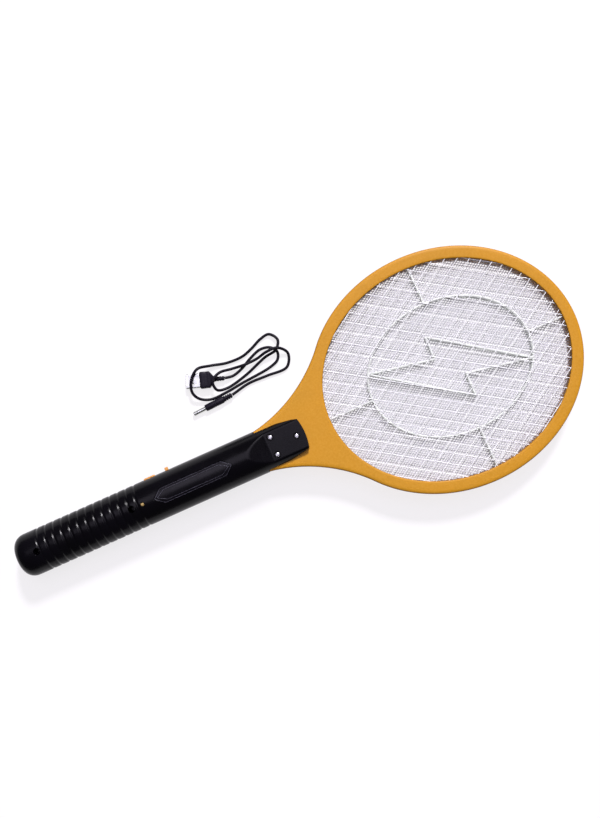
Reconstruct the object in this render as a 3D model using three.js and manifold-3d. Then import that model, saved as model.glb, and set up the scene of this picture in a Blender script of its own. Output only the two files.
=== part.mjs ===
// Rechargeable electric fly swatter: a black handle of two shells, an orange head frame of two
// halves, three metal grids kept apart by two white spacers, and its loose charging lead.
// Millimetres. In the swatter group x is the distance from the butt end, y goes across the head
// and z is the height over the handle's centre line, with the screwed side up. The lead lies
// beside the handle, and its heights are measured from the surface that the swatter lies on.

import * as THREE from 'three';
import { mergeVertices } from 'three/addons/utils/BufferGeometryUtils.js';
import Module from 'manifold-3d';

const wasm = await Module();
wasm.setup();

// Overall sizes
const totalLength = 490;
const gap = 0.3; // between touching pieces

// Handle
const handleRadius = 17.8;
const wall = 2.5;
const boreRadius = handleRadius - wall;
const roundSides = 48;
const buttWall = 6;
const cavityEnd = 204;
const grooveFirst = 22.3;
const groovePitch = 7.08;
const grooveCount = 13;
const grooveDepth = 0.6;
const facetStart = 203;
const facetFlat = 221;
const facetHeight = 13;
const splitHalf = gap / 2;

// Head frame
const frameHalf = 7.5; // half of the frame's thickness
const headX = 377.5;
const headA = totalLength - headX;
const headB = 98;
const holeA = 102.6;
const holeB = 87.5;
const lipHeight = 1;
const ledge = 2.3; // how far the lip covers the grid's edge
const tongueStart = 206;
const tongueHalf = 12;
const shoulderX = 213.7;
const throatHoleRadius = 1.7;
const channelY = 3.7; // grid leads' channels
const channelHalf = 1.3;
const ovalSegments = 40;

// Grids and spacers
const gridThickness = 0.22;
const outerGridZ = 5.95; // middle of an outer grid
const ribWidth = 1.4;
const spacerLow = 0.6;
const spacerHigh = 5.4;
const ringA = 69.5; // the spacer's oval ring
const ringB = 55.5;
const ringX = headX + 4; // and its middle
const ringY = 1.2;
const armX = 1; // the two side arms, from the ring's middle
const zigzag = [[-63.6, 20.8], [-9.3, 10.2], [-9, 29.8], [63.6, -20.8], [9.3, -10.2], [9, -29.8]];

// Screws
const gripScrews = [19.4, 101.7];
const throatScrews = [[225, 7.5], [225, -7.5], [245, 0]];
const shankRadius = 1.2;
const headRadius = 2.3;
const headHeight = 1.6;
const counterbore = 2.85;
const gripHeadZ = 6.9;
const throatHeadZ = 10.7;
const shankEnd = -11;

// Controls
const buttonX = 122;
const buttonLength = 10;
const buttonHalfHeight = 3;
const buttonTop = 18.8;
const knobX = 137.4;
const knobTravel = 3.5;
const lampX = 111;
const labelStart = 121;
const labelEnd = 189;
const labelHalf = 6.7;

// Circuit board
const boardStart = 107;
const boardEnd = 192;
const boardTop = -3.4;
const boardThickness = 1.6;

// Charging lead
const cableRadius = 1.2;
const usbRelief = new THREE.Vector3(209.6, 68.5, 3.7);
const usbTurn = THREE.MathUtils.degToRad(-18.5);
const jackRelief = new THREE.Vector3(209.6, 53.3, 2.9);
const jackTurn = THREE.MathUtils.degToRad(3);

// The cable's route, from the USB plug to the round plug: three long loops over each other
const cableRoute = [
  [209.9, 68.4, 3.7], [217, 67.6, 2], [226, 70.2, 1.6], [236, 75.2, 1.6], [246, 78.5, 1.6],
  [254.2, 76.8, 1.6], [258.4, 71.2, 1.6], [256, 65, 1.6], [248.6, 61.8, 1.6], [221, 58.9, 1.6],
  [206, 57.2, 1.6], [192, 57.1, 2], [183.6, 61.4, 4.2], [180.6, 68, 7], [183.6, 77, 8.4],
  [191.8, 84, 8.4], [203, 82.8, 3.2], [216, 79.6, 1.6], [230, 79.2, 1.6], [240, 82.2, 1.6],
  [249.6, 86.3, 1.6], [257.8, 87.2, 2], [262.7, 79.9, 3.6], [258.1, 72.8, 4.2], [247.2, 70.8, 2.8],
  [226, 63.6, 1.6], [208, 60.1, 2.7], [200.1, 61.9, 6], [199.8, 69.7, 8.7], [207.4, 74, 7.2],
  [218, 73.2, 3.2], [229, 71.9, 4.4], [240, 72.3, 3.6], [250, 74, 7], [259.5, 73.6, 6.9],
  [266, 66.4, 2.6], [260.7, 56.2, 1.6], [242.4, 56.2, 1.6], [226, 56.5, 1.6], [209.9, 53.3, 2.9],
];

// Shapes

function solidOf(geometry) {
  const bare = geometry.clone();
  bare.deleteAttribute('normal');
  bare.deleteAttribute('uv');
  const merged = mergeVertices(bare, 1e-4);
  const index = merged.index.array;
  const place = merged.attributes.position;
  const corners = [new THREE.Vector3(), new THREE.Vector3(), new THREE.Vector3()];
  const triVerts = [];
  let volume = 0;
  for (let i = 0; i < index.length; i += 3) {
    const [a, b, c] = [index[i], index[i + 1], index[i + 2]];
    if (a === b || b === c || c === a) continue;
    triVerts.push(a, b, c);
    corners[0].fromBufferAttribute(place, a);
    corners[1].fromBufferAttribute(place, b);
    corners[2].fromBufferAttribute(place, c);
    volume += corners[0].dot(corners[1].cross(corners[2]));
  }
  if (volume < 0) triVerts.reverse();
  return new wasm.Manifold(new wasm.Mesh({
    numProp: 3,
    vertProperties: new Float32Array(place.array),
    triVerts: new Uint32Array(triVerts),
  }));
}

function geometryOf(solid) {
  const mesh = solid.getMesh();
  const geometry = new THREE.BufferGeometry();
  geometry.setAttribute('position', new THREE.BufferAttribute(mesh.vertProperties, 3));
  geometry.setIndex(new THREE.BufferAttribute(mesh.triVerts, 1));
  geometry.computeVertexNormals();
  return geometry;
}

function box([x0, x1], [y0, y1], [z0, z1]) {
  const geometry = new THREE.BoxGeometry(x1 - x0, y1 - y0, z1 - z0);
  return solidOf(geometry.translate((x0 + x1) / 2, (y0 + y1) / 2, (z0 + z1) / 2));
}

function rodX([x0, x1], y, z, radius, sides = 24) {
  const geometry = new THREE.CylinderGeometry(radius, radius, x1 - x0, sides);
  return solidOf(geometry.rotateZ(-Math.PI / 2).translate((x0 + x1) / 2, y, z));
}

function rodY(x, [y0, y1], z, radius, sides = 24) {
  const geometry = new THREE.CylinderGeometry(radius, radius, y1 - y0, sides);
  return solidOf(geometry.translate(x, (y0 + y1) / 2, z));
}

function rodZ(x, y, [z0, z1], radius, sides = 24) {
  const geometry = new THREE.CylinderGeometry(radius, radius, z1 - z0, sides);
  return solidOf(geometry.rotateX(Math.PI / 2).translate(x, y, (z0 + z1) / 2));
}

// A profile of [x, radius] points turned about the x axis
function turned(profile, sides) {
  const points = profile.map(([x, radius]) => new THREE.Vector2(radius, x));
  return solidOf(new THREE.LatheGeometry(points, sides).rotateZ(-Math.PI / 2));
}

// A flat outline in x and y, from z0 up to z1
function slab(shape, [z0, z1], curveSegments = 12) {
  const options = { depth: z1 - z0, bevelEnabled: false, curveSegments };
  return solidOf(new THREE.ExtrudeGeometry(shape, options).translate(0, 0, z0));
}

// An outline in x and z, carried across in y
function sideSlab(points, half) {
  const shape = new THREE.Shape(points.map(([x, z]) => new THREE.Vector2(x, z)));
  const geometry = new THREE.ExtrudeGeometry(shape, { depth: 2 * half, bevelEnabled: false });
  return solidOf(geometry.rotateX(Math.PI / 2).translate(0, half, 0));
}

function oval(a, b, x = headX, y = 0) {
  return new THREE.Shape().absellipse(x, y, a, b, 0, 2 * Math.PI);
}

function ovalSlab(grow, heights) {
  return slab(oval(holeA + grow, holeB + grow), heights, ovalSegments);
}

function roundSection(radius) {
  return new THREE.Shape().absarc(0, 0, radius, 0, 2 * Math.PI);
}

function tube(points, radius, sides, steps) {
  const path = new THREE.CatmullRomCurve3(points.map((p) => new THREE.Vector3(...p)));
  const options = { steps, bevelEnabled: false, curveSegments: sides / 2, extrudePath: path };
  return solidOf(new THREE.ExtrudeGeometry(roundSection(radius), options));
}

function join(first, ...rest) {
  return rest.reduce((sum, solid) => sum.add(solid), first);
}

function cut(first, ...rest) {
  return rest.reduce((left, solid) => left.subtract(solid), first);
}

// Handle

function handleOutside() {
  const profile = [[0, 0], [0, 8.6], [0.6, 11.7], [1.8, 13.9], [3.6, 15.7], [6, 17],
    [10, handleRadius]];
  for (let i = 0; i < grooveCount; i++) {
    const x = grooveFirst + i * groovePitch;
    const floor = handleRadius - grooveDepth;
    profile.push([x - 0.6, handleRadius], [x - 0.35, floor]);
    profile.push([x + 0.35, floor], [x + 0.6, handleRadius]);
  }
  profile.push([258, handleRadius], [258, 0]);
  const rod = turned(profile, roundSides);

  // Seen from above, the throat end narrows and has a gently curved edge
  const plan = new THREE.Shape();
  plan.moveTo(-2, -20);
  plan.lineTo(217, -20);
  plan.lineTo(219, -17.9);
  plan.lineTo(230, -16.7);
  plan.lineTo(238, -15.2);
  plan.lineTo(246, -13.9);
  plan.lineTo(250.6, -12.4);
  plan.quadraticCurveTo(253.8, 0, 250.6, 12.4);
  plan.lineTo(246, 13.9);
  plan.lineTo(238, 15.2);
  plan.lineTo(230, 16.7);
  plan.lineTo(219, 17.9);
  plan.lineTo(217, 20);
  plan.lineTo(-2, 20);
  const body = rod.intersect(slab(plan, [-20, 20], 8));

  // A sloping face on each side, then a flat one over the frame's tongue
  const above = [[facetStart, handleRadius], [facetFlat, facetHeight], [262, facetHeight]];
  const top = sideSlab([...above, [262, 30], [facetStart, 30]], 25);
  const below = above.map(([x, z]) => [x, -z]);
  const bottom = sideSlab([[facetStart, -30], [262, -30], ...below.reverse()], 25);
  return cut(body, top, bottom);
}

// Room inside for the works, the tongue and everything that comes out through the wall
function handleRoom() {
  const cavity = rodX([buttWall, cavityEnd], 0, 0, boreRadius, roundSides);
  const socketHole = rodX([-1, buttWall + 1], 0, 0, 3.2);
  const tongueSlot = box([tongueStart - gap, shoulderX], [-tongueHalf - gap, tongueHalf + gap],
    [-frameHalf - gap, frameHalf + gap]);
  const throatSlot = box([shoulderX - gap, 262], [-30, 30], [-frameHalf - gap, frameHalf + gap]);
  const leadPass = box([cavityEnd - 1, tongueStart + 1], [-5.3, 5.3], [-1.5, 1.5]);
  return join(cavity, socketHole, tongueSlot, throatSlot, leadPass);
}

function controlOpenings() {
  const half = buttonLength / 2 + 0.4;
  const height = buttonHalfHeight + 0.4;
  const button = box([buttonX - half, buttonX + half], [13, 22], [-height, height]);
  const slot = box([knobX - 1.8, knobX + 1.8 + knobTravel], [13, 22], [-1.7, 1.7]);
  const lamp = rodZ(lampX, 0, [10, 20], 1.85);
  return join(button, slot, lamp);
}

function labelOutline(grow) {
  const shape = new THREE.Shape();
  const point = 7;
  shape.moveTo(labelStart - grow, 0);
  shape.lineTo(labelStart + point, -labelHalf - grow);
  shape.lineTo(labelEnd - point, -labelHalf - grow);
  shape.lineTo(labelEnd + grow, 0);
  shape.lineTo(labelEnd - point, labelHalf + grow);
  shape.lineTo(labelStart + point, labelHalf + grow);
  shape.closePath();
  return shape;
}

function labelBand(inner, outer, grow) {
  const ring = cut(rodX([110, 200], 0, 0, outer, roundSides),
    rodX([109, 201], 0, 0, inner, roundSides));
  return ring.intersect(slab(labelOutline(grow), [5, 20]));
}

function screwPosts() {
  const posts = gripScrews.map((x) => rodZ(x, 0, [-16.5, 16.5], 4.2));
  return join(...posts);
}

function screwPassages() {
  const passages = [];
  for (const x of gripScrews) {
    passages.push(rodZ(x, 0, [shankEnd - 1, 20], shankRadius + gap, 16));
    passages.push(rodZ(x, 0, [gripHeadZ - gap, 20], counterbore));
  }
  for (const [x, y] of throatScrews) {
    passages.push(rodZ(x, y, [shankEnd - 1, 20], shankRadius + gap, 16));
    passages.push(rodZ(x, y, [throatHeadZ - gap, 20], counterbore));
  }
  return join(...passages);
}

function handleShells() {
  const hollow = cut(handleOutside(), handleRoom());
  const posted = join(hollow, screwPosts().intersect(handleOutside()));
  const pocket = labelBand(16.7, 18.5, 0.35);
  const whole = cut(posted, screwPassages(), controlOpenings(), pocket);
  const back = whole.intersect(box([-5, 300], [-40, 40], [splitHalf, 40]));
  const front = whole.intersect(box([-5, 300], [-40, 40], [-40, -splitHalf]));
  return [back, front];
}

// A pan-head screw standing on its head's underside at z
function screw(x, y, z) {
  const head = turned([[0, 0], [0, headRadius], [headHeight * 0.6, headRadius],
    [headHeight, headRadius * 0.62], [headHeight, 0]], 24);
  const upright = head.rotate([0, -90, 0]).translate([x, y, z]);
  const shank = rodZ(x, y, [shankEnd, z + 0.2], shankRadius, 12);
  const slots = [box([x - 1.4, x + 1.4], [y - 0.25, y + 0.25], [z + 0.8, z + 3]),
    box([x - 0.25, x + 0.25], [y - 1.4, y + 1.4], [z + 0.8, z + 3])];
  return cut(join(upright, shank), ...slots);
}

// Controls and works

function pushButton() {
  const half = buttonLength / 2;
  const cap = box([buttonX - half, buttonX + half], [13.5, buttonTop],
    [-buttonHalfHeight, buttonHalfHeight]);
  const flange = box([buttonX - half - 1.4, buttonX + half + 1.4], [13, 14], [-4.4, 4.4]);
  const stem = rodY(buttonX, [10.9, 13.2], 0, 1.4, 16);
  return join(cap, flange, stem);
}

function buttonSpring() {
  const turns = 4;
  const points = [];
  for (let i = 0; i <= turns * 10; i++) {
    const angle = (i / 10) * 2 * Math.PI;
    const y = 9.7 + (2.6 * i) / (turns * 10);
    points.push([buttonX + 2.3 * Math.cos(angle), y, 2.3 * Math.sin(angle)]);
  }
  return tube(points, 0.25, 6, 48);
}

function slideKnob() {
  const plate = box([knobX - 3.2, knobX + 3.2], [13.1, 14.1], [-3, 3]);
  const nub = box([knobX - 1.4, knobX + 1.4], [13.6, 20.2], [-1.3, 1.3]);
  return join(plate, nub);
}

function indicatorLamp() {
  const lens = turned([[0, 0], [0, 1.5], [7, 1.5], [7.6, 1.2], [7.9, 0]], 20);
  const upright = lens.rotate([0, -90, 0]).translate([lampX, 0, 10.2]);
  const legs = [-0.8, 0.8].map((dx) => rodZ(lampX + dx, 0, [boardTop + gap, 10.4], 0.3, 8));
  return join(upright, ...legs);
}

function socket() {
  const snout = rodX([1, 7], 0, 0, 2.9);
  const housing = box([buttWall + gap, 14.4], [-4.5, 4.5], [-4, 4]);
  const bore = rodX([-1, 10], 0, 0, 1.95);
  const pin = rodX([2, 11], 0, 0, 0.6, 12);
  return join(cut(join(snout, housing), bore), pin);
}

// Head

function frameBlank(heights) {
  const ring = slab(oval(headA, headB), heights, ovalSegments);
  const throat = new THREE.Shape();
  throat.moveTo(tongueStart, tongueHalf);
  throat.lineTo(shoulderX, tongueHalf);
  throat.lineTo(shoulderX, 17.4);
  throat.bezierCurveTo(240, 21.5, 268, 36, 288, 59.2);
  throat.lineTo(288, -59.2);
  throat.bezierCurveTo(268, -36, 240, -21.5, shoulderX, -17.4);
  throat.lineTo(shoulderX, -tongueHalf);
  throat.lineTo(tongueStart, -tongueHalf);
  throat.closePath();
  return join(ring, slab(throat, heights, 14));
}

// Notches in the frame's inner wall for the ends of the spacer's arms
function armNotches() {
  const half = ribWidth / 2 + gap;
  return join(box([0, 600], [ringY - half, ringY + half], [-1, 9]),
    box([ringX + armX - half, ringX + armX + half], [-200, 200], [-1, 9]));
}

// The half with the screwed side; the other one is its mirror image
function frameHalfSolid() {
  const blank = frameBlank([splitHalf, frameHalf]);
  const opening = ovalSlab(0, [-1, frameHalf + 1]);
  const seats = [ovalSlab(ledge, [-1, spacerLow - 0.15]),
    ovalSlab(ledge, [spacerHigh + 0.15, frameHalf - lipHeight])];
  const notches = armNotches().intersect(ovalSlab(ledge, [-1, frameHalf - lipHeight]));
  const hollow = cut(slab(oval(headA - 2.2, headB - 2.2), [-1, 5.7], ovalSegments),
    ovalSlab(ledge + 1.6, [-2, 6]), box([tongueStart, 292], [-70, 70], [-2, 6]));
  const slope = [[253, 19], [262, 26], [274, 35.5], [287, 51]].map(([x, y]) => new THREE.Vector2(x, y));
  const otherSlope = slope.map(({ x, y }) => new THREE.Vector2(x, -y)).reverse();
  const plan = new THREE.Shape([...slope, ...otherSlope]);
  const pocket = slab(plan, [-1, 5.7]).subtract(ovalSlab(ledge + 1.8, [-2, 6]));
  const channels = [-1, 1].map((side) => box([tongueStart - 1, 276],
    [side * channelY - channelHalf, side * channelY + channelHalf], [-1, 1.3]));
  const holes = throatScrews.map(([x, y]) => rodZ(x, y, [-1, 9], throatHoleRadius, 16));
  return cut(blank, opening, ...seats, notches, hollow, pocket, ...channels, ...holes);
}

function grid(z) {
  return ovalSlab(ledge - gap, [z - gridThickness / 2, z + gridThickness / 2]);
}

// A straight rib of the spacer, between two points measured from the oval ring's middle
function rib([x0, y0], [x1, y1]) {
  const length = Math.hypot(x1 - x0, y1 - y0);
  const geometry = new THREE.BoxGeometry(length, ribWidth, spacerHigh - spacerLow);
  geometry.rotateZ(Math.atan2(y1 - y0, x1 - x0));
  geometry.translate(ringX + (x0 + x1) / 2, ringY + (y0 + y1) / 2, (spacerLow + spacerHigh) / 2);
  return solidOf(geometry);
}

function spacer() {
  const reach = ledge - gap - 0.1;
  const ring = cut(slab(oval(ringA, ringB, ringX, ringY), [spacerLow, spacerHigh], ovalSegments),
    slab(oval(ringA - ribWidth, ringB - ribWidth, ringX, ringY), [0, 9], ovalSegments));
  const aside = headX - ringX;
  const arms = [
    rib([ringA - 0.7, 0], [holeA + aside + reach, 0]),
    rib([aside - holeA - reach, 0], [-ringA + 0.7, 0]),
    rib([armX, ringB - 0.7], [armX, holeB - ringY + reach - 0.2]),
    rib([armX, -holeB - ringY - reach + 0.2], [armX, -ringB + 0.7]),
  ];
  const bends = zigzag.map(([x, y]) => rodZ(ringX + x, ringY + y, [spacerLow, spacerHigh],
    ribWidth / 2, 10));
  const strokes = zigzag.map((point, i) => rib(point, zigzag[(i + 1) % zigzag.length]));
  return join(ring, ...arms, ...bends, ...strokes);
}

function flipped(solid) {
  return solid.mirror([0, 0, 1]);
}

// Charging lead

// Plug pieces are drawn along x, with the relief's end at the origin and the contacts at -x
function usbBody() {
  const outline = new THREE.Shape();
  outline.moveTo(-20.3, -7);
  outline.lineTo(-12.5, -7);
  outline.lineTo(-8.5, -2.4);
  outline.lineTo(-8.5, 2.4);
  outline.lineTo(-12.5, 7);
  outline.lineTo(-20.3, 7);
  outline.closePath();
  const side = [[-21, -3.6], [-12.5, -3.6], [-8, -2.1], [-8, 2.1], [-12.5, 3.6], [-21, 3.6]];
  const body = slab(outline, [-5, 5]).intersect(sideSlab(side, 10));
  const relief = turned([[-9.5, 0], [-9.5, 2.1], [0, 1.7], [0, 0]], 16);
  return join(body, relief);
}

function usbShell() {
  const outside = box([-32, -20.6], [-6, 6], [-2.25, 2.25]);
  const inside = box([-33, -21.2], [-5.6, 5.6], [-1.85, 1.85]);
  const windows = [-2.7, 2.7].map((y) => box([-27.5, -25.3], [y - 1.1, y + 1.1], [-4, 4]));
  return cut(outside, inside, ...windows);
}

function usbTongue() {
  return box([-31.2, -21.5], [-5.2, 5.2], [0.1, 1.5]);
}

function jackBody() {
  const body = turned([[-24.5, 0], [-24.5, 2.8], [-8, 2.9], [-7.4, 2.1], [-7.4, 0]], 20);
  const relief = [turned([[-8, 0], [-8, 1.75], [0, 1.7], [0, 0]], 16)];
  for (let i = 0; i < 3; i++) relief.push(rodX([-6.5 + 2.2 * i, -5.3 + 2.2 * i], 0, 0, 2.5, 16));
  return join(body, ...relief);
}

function jackBarrel() {
  return cut(rodX([-35.3, -24.8], 0, 0, 1.75), rodX([-36, -26], 0, 0, 0.7, 12));
}

// Assembly

function finish(color, roughness, metalness = 0) {
  return new THREE.MeshStandardMaterial({ color, roughness, metalness });
}

const blackPlastic = () => finish(0x17161c, 0.45);
const orangePlastic = () => finish(0xe0962a, 0.5);
const whitePlastic = () => finish(0xeef0ec, 0.5);
const wireMetal = () => finish(0xd6d6da, 0.35, 1);
const brightSteel = () => finish(0xd8d8d8, 0.25, 1);
const boardGreen = () => finish(0x2f6b3a, 0.6);
const darkPart = () => finish(0x22242a, 0.55);
const amberPart = () => finish(0xc8902c, 0.55);
const redWire = () => finish(0xb02a22, 0.5);

function add(group, name, solid, material) {
  const mesh = new THREE.Mesh(geometryOf(solid), material);
  mesh.name = name;
  group.add(mesh);
  return mesh;
}

function buildHandle(group) {
  const [back, front] = handleShells();
  add(group, 'handle_back_shell', back, blackPlastic());
  add(group, 'handle_front_shell', front, blackPlastic());
  add(group, 'label_plate', labelBand(17.05, 17.55, 0), blackPlastic());
  gripScrews.forEach((x, i) => {
    add(group, `grip_screw_${i + 1}`, screw(x, 0, gripHeadZ), brightSteel());
  });
  throatScrews.forEach(([x, y], i) => {
    add(group, `throat_screw_${i + 1}`, screw(x, y, throatHeadZ), brightSteel());
  });
}

function buildControls(group) {
  add(group, 'push_button', pushButton(), orangePlastic());
  add(group, 'button_spring', buttonSpring(), brightSteel());
  add(group, 'push_switch', box([118.5, 125.5], [2, 9], [boardTop + gap, 3.9]), darkPart());
  add(group, 'slide_knob', slideKnob(), orangePlastic());
  add(group, 'slide_switch', box([134, 145], [7.6, 12.6], [boardTop + gap, 2.9]), darkPart());
  add(group, 'indicator_lamp', indicatorLamp(), finish(0xf0d890, 0.3));
}

function buildWorks(group) {
  const board = box([boardStart, boardEnd], [-11, 11], [boardTop - boardThickness, boardTop]);
  const standing = boardTop + gap;
  add(group, 'circuit_board', board, boardGreen());
  add(group, 'transformer', box([148, 162], [-7, 7], [standing, 8.9]), amberPart());
  add(group, 'storage_capacitor', box([168, 186], [-4, 4], [standing, 8.9]), redWire());
  add(group, 'discharge_resistor', rodX([168, 176], 8, standing + 1.4, 1.3, 16), amberPart());
  add(group, 'battery_cell', rodX([30, 80], 0, 0, 7), finish(0x2c7a4b, 0.4));
  add(group, 'battery_tab_rear', box([29.1, 29.7], [-5, 5], [-5, 5]), brightSteel());
  add(group, 'battery_tab_front', box([80.3, 80.9], [-5, 5], [-5, 5]), brightSteel());
  const rearRoute = [[28.6, -3, -3], [26, -4.6, -3.4], [26, -8.6, -4.2], [32, -10.8, -4.4],
    [80, -10.6, -4.4], [106.3, -9.4, -4.2]];
  const frontRoute = [[81.4, 2, -2], [86, 3.4, -2.6], [94, 8.6, -4.2], [106.3, 9.4, -4.2]];
  add(group, 'battery_lead_rear', tube(rearRoute, 0.7, 8, 24), darkPart());
  add(group, 'battery_lead_front', tube(frontRoute, 0.7, 8, 12), redWire());
  add(group, 'charging_socket', socket(), darkPart());
}

function buildHead(group) {
  const half = frameHalfSolid();
  add(group, 'head_frame_back', half, orangePlastic());
  add(group, 'head_frame_front', flipped(half), orangePlastic());
  add(group, 'outer_grid_back', grid(outerGridZ), wireMetal());
  add(group, 'centre_grid', grid(0), wireMetal());
  add(group, 'outer_grid_front', grid(-outerGridZ), wireMetal());
  const layer = spacer();
  add(group, 'grid_spacer_back', layer, whitePlastic());
  add(group, 'grid_spacer_front', flipped(layer), whitePlastic());
  for (const [side, name] of [[1, 'centre_grid_lead'], [-1, 'outer_grid_lead']]) {
    const y = side * channelY;
    const route = [[192.4, y, -4.2], [198, y, -2.4], [204, y, 0], [215, y, 0], [272.3, y, 0]];
    add(group, name, tube(route, 0.7, 8, 14), redWire());
  }
}

function buildChargingLead(group) {
  const usb = new THREE.Group();
  usb.position.copy(usbRelief);
  usb.rotation.z = usbTurn;
  add(usb, 'usb_plug_body', usbBody(), blackPlastic());
  add(usb, 'usb_plug_shell', usbShell(), brightSteel());
  add(usb, 'usb_contact_block', usbTongue(), whitePlastic());
  const jack = new THREE.Group();
  jack.position.copy(jackRelief);
  jack.rotation.z = jackTurn;
  add(jack, 'round_plug_body', jackBody(), blackPlastic());
  add(jack, 'round_plug_barrel', jackBarrel(), brightSteel());
  group.add(usb, jack);
  add(group, 'lead_cable', tube(cableRoute, cableRadius, 8, 80), blackPlastic());
}

const flySwatter = new THREE.Group();
const swatter = new THREE.Group();
swatter.position.set(-totalLength / 2, 0, handleRadius);
const chargingLead = new THREE.Group();
chargingLead.position.set(-totalLength / 2, 0, 0);
buildHandle(swatter);
buildControls(swatter);
buildWorks(swatter);
buildHead(swatter);
buildChargingLead(chargingLead);
flySwatter.add(swatter, chargingLead);

export default flySwatter;
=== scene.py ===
import bmesh
import bpy
import math
import random
from mathutils import Matrix, Vector
from mathutils.geometry import tessellate_polygon


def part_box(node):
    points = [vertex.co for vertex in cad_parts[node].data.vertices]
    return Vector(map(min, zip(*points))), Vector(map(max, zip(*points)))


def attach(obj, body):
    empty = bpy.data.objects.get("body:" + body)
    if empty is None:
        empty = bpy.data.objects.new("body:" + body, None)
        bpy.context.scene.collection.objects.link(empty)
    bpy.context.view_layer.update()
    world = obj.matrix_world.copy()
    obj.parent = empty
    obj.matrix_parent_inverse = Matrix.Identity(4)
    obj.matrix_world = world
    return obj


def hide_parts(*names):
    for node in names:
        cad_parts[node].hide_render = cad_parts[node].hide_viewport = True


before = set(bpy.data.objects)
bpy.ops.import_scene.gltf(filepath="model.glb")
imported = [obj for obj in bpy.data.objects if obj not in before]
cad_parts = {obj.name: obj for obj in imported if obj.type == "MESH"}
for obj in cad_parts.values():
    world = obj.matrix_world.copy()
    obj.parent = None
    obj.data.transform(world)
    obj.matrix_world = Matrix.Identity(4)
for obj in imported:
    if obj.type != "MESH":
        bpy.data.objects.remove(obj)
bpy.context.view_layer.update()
print("frame loaded:", len(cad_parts), "parts")

mm = 0.001
handleRadius = 17.8
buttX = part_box("handle_back_shell")[0].x
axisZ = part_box("handle_front_shell")[0].z + handleRadius * mm
gridLow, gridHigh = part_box("centre_grid")
headX = ((gridLow.x + gridHigh.x) / 2 - buttX) / mm  # middle of the head, from the butt


# Places in millimetres: x from the butt, y across, z over the handle's axis or over the floor
def onSwatter(x, y, z):
    return (buttX + x * mm, y * mm, axisZ + z * mm)


def onFloor(x, y, z):
    return (buttX + x * mm, y * mm, z * mm)


# The camera stands over the swatter, turned and tilted a little
cameraView = {"turn": 24.03, "tiltX": -2.25, "tiltY": -0.75, "aside": (2.5, 22.0),
              "distance": 800.0, "lens": 43.38}


def makeCamera(v):
    toCamera = (Matrix.Rotation(math.radians(v["tiltY"]), 3, "Y")
                @ Matrix.Rotation(math.radians(v["tiltX"]), 3, "X")
                @ Matrix.Rotation(math.radians(v["turn"]), 3, "Z"))
    toRow = toCamera.inverted()
    eye = toRow @ Vector((v["aside"][0], v["aside"][1], v["distance"])) * mm
    data = bpy.data.cameras.new("camera")
    data.lens = v["lens"]
    data.sensor_width = 36
    camera = bpy.data.objects.new("camera", data)
    camera.matrix_world = Matrix.Translation(eye + Vector((0, 0, axisZ))) @ toRow.to_4x4()
    bpy.context.scene.collection.objects.link(camera)
    bpy.context.scene.camera = camera
    return toRow


toRow = makeCamera(cameraView)

studio = {"keyFrom": (0.12, 0.75, 0.66), "keyPower": 3.6, "keySpread": 9.0,
          "keyColor": (0.985, 0.96, 1.0), "fillFrom": (-0.05, 0.34, 0.94), "fillPower": 1.05,
          "fillSpread": 40.0, "fillColor": (0.87, 0.81, 1.0), "skyColor": (0.97, 0.95, 1.0),
          "skyPower": 0.12}


def sunFrom(name, v):
    sun = bpy.data.lights.new(name, "SUN")
    sun.energy = v[name + "Power"]
    sun.angle = math.radians(v[name + "Spread"])
    sun.color = v[name + "Color"]
    lamp = bpy.data.objects.new(name, sun)
    lamp.rotation_mode = "QUATERNION"
    lamp.rotation_quaternion = (toRow @ Vector(v[name + "From"])).to_track_quat("Z", "Y")
    bpy.context.scene.collection.objects.link(lamp)


def makeLights(v):
    sunFrom("key", v)
    sunFrom("fill", v)
    world = bpy.data.worlds.new("studio")
    world.use_nodes = True
    sky = world.node_tree.nodes["Background"]
    sky.inputs["Color"].default_value = (*v["skyColor"], 1)
    sky.inputs["Strength"].default_value = v["skyPower"]
    bpy.context.scene.world = world
    bpy.context.scene.view_settings.view_transform = "Standard"


makeLights(studio)
print("camera and lights made")


class Wire:  # a shader socket that can be added, multiplied and so on
    def __init__(self, tree, socket):
        self.tree = tree
        self.socket = socket

    def math(self, operation, first, second):
        node = self.tree.nodes.new("ShaderNodeMath")
        node.operation = operation
        plug(self.tree, node.inputs[0], first)
        plug(self.tree, node.inputs[1], second)
        return Wire(self.tree, node.outputs[0])

    def __add__(self, other):
        return self.math("ADD", self, other)

    def __radd__(self, other):
        return self.math("ADD", other, self)

    def __sub__(self, other):
        return self.math("SUBTRACT", self, other)

    def __rsub__(self, other):
        return self.math("SUBTRACT", other, self)

    def __mul__(self, other):
        return self.math("MULTIPLY", self, other)

    def __rmul__(self, other):
        return self.math("MULTIPLY", other, self)

    def __abs__(self):
        return self.math("ABSOLUTE", self, 0.0)


def plug(tree, socket, value):
    if isinstance(value, Wire):
        tree.links.new(value.socket, socket)
    elif socket.type == "RGBA" and len(value) == 3:
        socket.default_value = (*value, 1)
    else:
        socket.default_value = value


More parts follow.
